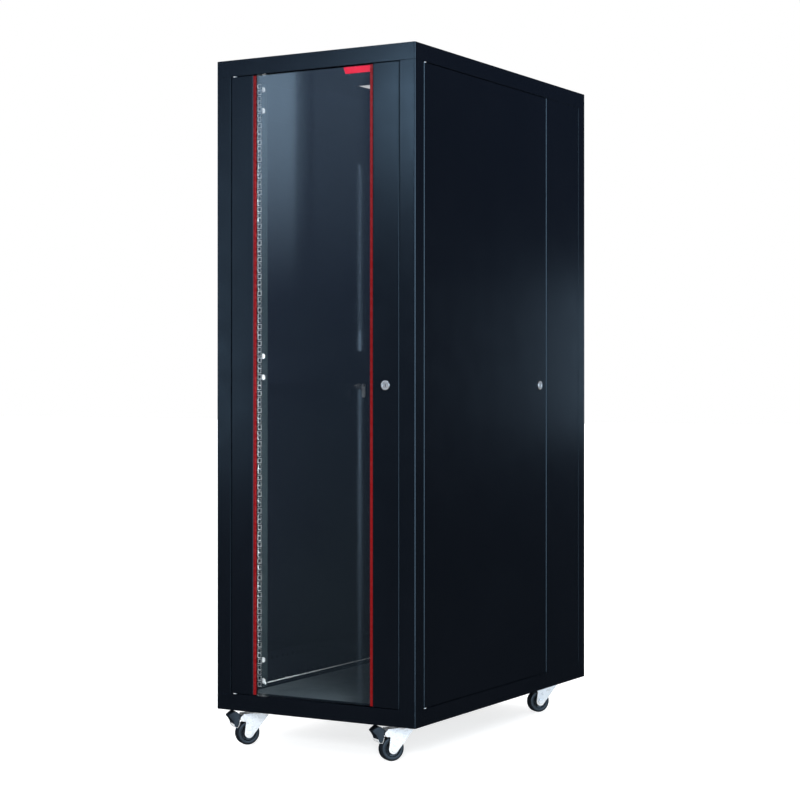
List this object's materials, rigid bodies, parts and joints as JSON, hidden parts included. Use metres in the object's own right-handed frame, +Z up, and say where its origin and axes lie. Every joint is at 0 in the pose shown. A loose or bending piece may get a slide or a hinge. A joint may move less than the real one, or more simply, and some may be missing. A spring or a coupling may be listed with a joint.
{
  "type": "network server rack cabinet",
  "caption": "Free-standing 19 inch network rack cabinet with a glass front door, lockable doors and side panels, on castors.",
  "frame": {"origin": "on the floor under the centre of the cabinet", "axes": "+Z up, -Y towards the front glass door, +X to the right as seen from the front"},
  "size_m": [0.605, 1.005, 1.796],
  "materials": {
    "black_paint": "black satin powder coat",
    "rail_steel": "black powder coat, zinc showing at the punched holes",
    "zinc": "bright zinc plate",
    "lock_chrome": "satin chrome",
    "glass": "lightly smoked toughened glass",
    "red_trim": "red gloss strip",
    "wheel_black": "black rubber tread on a black core",
    "pedal_black": "black moulded nylon"
  },
  "bodies": {
    "frame": {"base_frame": "black_paint", "floor_panel": "black_paint", "top_frame": "black_paint", "roof_cover": "black_paint", "post_front_left": "black_paint", "post_front_right": "black_paint", "post_rear_left": "black_paint", "post_rear_right": "black_paint", "mid_post_left": "black_paint", "mid_post_right": "black_paint", "brace_left_low": "black_paint", "brace_left_mid": "black_paint", "brace_left_top": "black_paint", "brace_right_low": "black_paint", "brace_right_mid": "black_paint", "brace_right_top": "black_paint", "rail_front_left": "rail_steel", "rail_front_right": "rail_steel", "rail_rear_left": "rail_steel", "rail_rear_right": "rail_steel", "rear_side_left": "black_paint", "rear_side_right": "black_paint", "rail_bolts": "zinc", "frame_screws": "zinc", "hinge_pins": "zinc", "castor_mounts": "zinc", "castor_bolts": "zinc"},
    "front_door": {"door_hinge_stile": "black_paint", "door_lock_stile": "black_paint", "door_glass": "glass", "door_trim_left": "red_trim", "door_trim_right": "red_trim", "door_badge": "red_trim", "front_lock_housing": "lock_chrome"},
    "front_lock": {"front_lock_plug": "lock_chrome", "front_lock_cam": "zinc"},
    "rear_door": {"rear_door_panel": "black_paint", "rear_door_stiffener": "black_paint", "rear_lock_housing": "lock_chrome"},
    "rear_lock": {"rear_lock_plug": "lock_chrome", "rear_lock_cam": "zinc"},
    "right_panel": {"side_panel_right": "black_paint", "right_lock_housing": "lock_chrome"},
    "right_lock": {"right_lock_plug": "lock_chrome", "right_lock_cam": "zinc"},
    "left_panel": {"side_panel_left": "black_paint", "left_lock_housing": "lock_chrome"},
    "left_lock": {"left_lock_plug": "lock_chrome", "left_lock_cam": "zinc"},
    "castor_front_left": {"fork_front_left": "zinc"},
    "wheel_front_left": {"wheel_front_left": "wheel_black"},
    "brake_left": {"brake_pedal_left": "pedal_black"},
    "castor_front_right": {"fork_front_right": "zinc"},
    "wheel_front_right": {"wheel_front_right": "wheel_black"},
    "brake_right": {"brake_pedal_right": "pedal_black"},
    "castor_rear_left": {"fork_rear_left": "zinc"},
    "wheel_rear_left": {"wheel_rear_left": "wheel_black"},
    "castor_rear_right": {"fork_rear_right": "zinc"},
    "wheel_rear_right": {"wheel_rear_right": "wheel_black"}
  },
  "joints": [
    {"name": "front_door_hinge", "type": "hinge", "parent": "frame", "child": "front_door", "pos_m": [-0.245, -0.494, 0.946], "axis": [0, 0, -1], "range_deg": [0, 115]},
    {"name": "front_lock_turn", "type": "hinge", "parent": "front_door", "child": "front_lock", "pos_m": [0.215, -0.5, 0.946], "axis": [0, -1, 0], "range_deg": [0, 90]},
    {"name": "rear_door_hinge", "type": "hinge", "parent": "frame", "child": "rear_door", "pos_m": [0.245, 0.494, 0.946], "axis": [0, 0, -1], "range_deg": [0, 115]},
    {"name": "rear_lock_turn", "type": "hinge", "parent": "rear_door", "child": "rear_lock", "pos_m": [-0.215, 0.5, 0.946], "axis": [0, 1, 0], "range_deg": [0, 90]},
    {"name": "right_panel_swing", "type": "hinge", "parent": "frame", "child": "right_panel", "pos_m": [0.294, -0.445, 0.946], "axis": [0, 0, -1], "range_deg": [0, 90]},
    {"name": "right_lock_turn", "type": "hinge", "parent": "right_panel", "child": "right_lock", "pos_m": [0.3, 0.2, 0.946], "axis": [1, 0, 0], "range_deg": [0, 90]},
    {"name": "left_panel_swing", "type": "hinge", "parent": "frame", "child": "left_panel", "pos_m": [-0.294, -0.445, 0.946], "axis": [0, 0, 1], "range_deg": [0, 90]},
    {"name": "left_lock_turn", "type": "hinge", "parent": "left_panel", "child": "left_lock", "pos_m": [-0.3, 0.2, 0.946], "axis": [1, 0, 0], "range_deg": [0, 90]},
    {"name": "castor_front_left_swivel", "type": "hinge", "parent": "frame", "child": "castor_front_left", "pos_m": [-0.22, -0.42, 0.09], "axis": [0, 0, 1], "continuous": true},
    {"name": "wheel_front_left_spin", "type": "hinge", "parent": "castor_front_left", "child": "wheel_front_left", "pos_m": [-0.2395, -0.44785, 0.0315], "axis": [0.8192, -0.5736, 0], "continuous": true},
    {"name": "brake_left_press", "type": "hinge", "parent": "castor_front_left", "child": "brake_left", "pos_m": [-0.24868, -0.46096, 0.071], "axis": [0.8192, -0.5736, 0], "range_deg": [0, 8]},
    {"name": "castor_front_right_swivel", "type": "hinge", "parent": "frame", "child": "castor_front_right", "pos_m": [0.22, -0.42, 0.09], "axis": [0, 0, 1], "continuous": true},
    {"name": "wheel_front_right_spin", "type": "hinge", "parent": "castor_front_right", "child": "wheel_front_right", "pos_m": [0.2005, -0.44785, 0.0315], "axis": [0.8192, -0.5736, 0], "continuous": true},
    {"name": "brake_right_press", "type": "hinge", "parent": "castor_front_right", "child": "brake_right", "pos_m": [0.19132, -0.46096, 0.071], "axis": [0.8192, -0.5736, 0], "range_deg": [0, 8]},
    {"name": "castor_rear_left_swivel", "type": "hinge", "parent": "frame", "child": "castor_rear_left", "pos_m": [-0.22, 0.42, 0.09], "axis": [0, 0, 1], "continuous": true},
    {"name": "wheel_rear_left_spin", "type": "hinge", "parent": "castor_rear_left", "child": "wheel_rear_left", "pos_m": [-0.2395, 0.39215, 0.0315], "axis": [0.8192, -0.5736, 0], "continuous": true},
    {"name": "castor_rear_right_swivel", "type": "hinge", "parent": "frame", "child": "castor_rear_right", "pos_m": [0.22, 0.42, 0.09], "axis": [0, 0, 1], "continuous": true},
    {"name": "wheel_rear_right_spin", "type": "hinge", "parent": "castor_rear_right", "child": "wheel_rear_right", "pos_m": [0.2005, 0.39215, 0.0315], "axis": [0.8192, -0.5736, 0], "continuous": true}
  ]
}
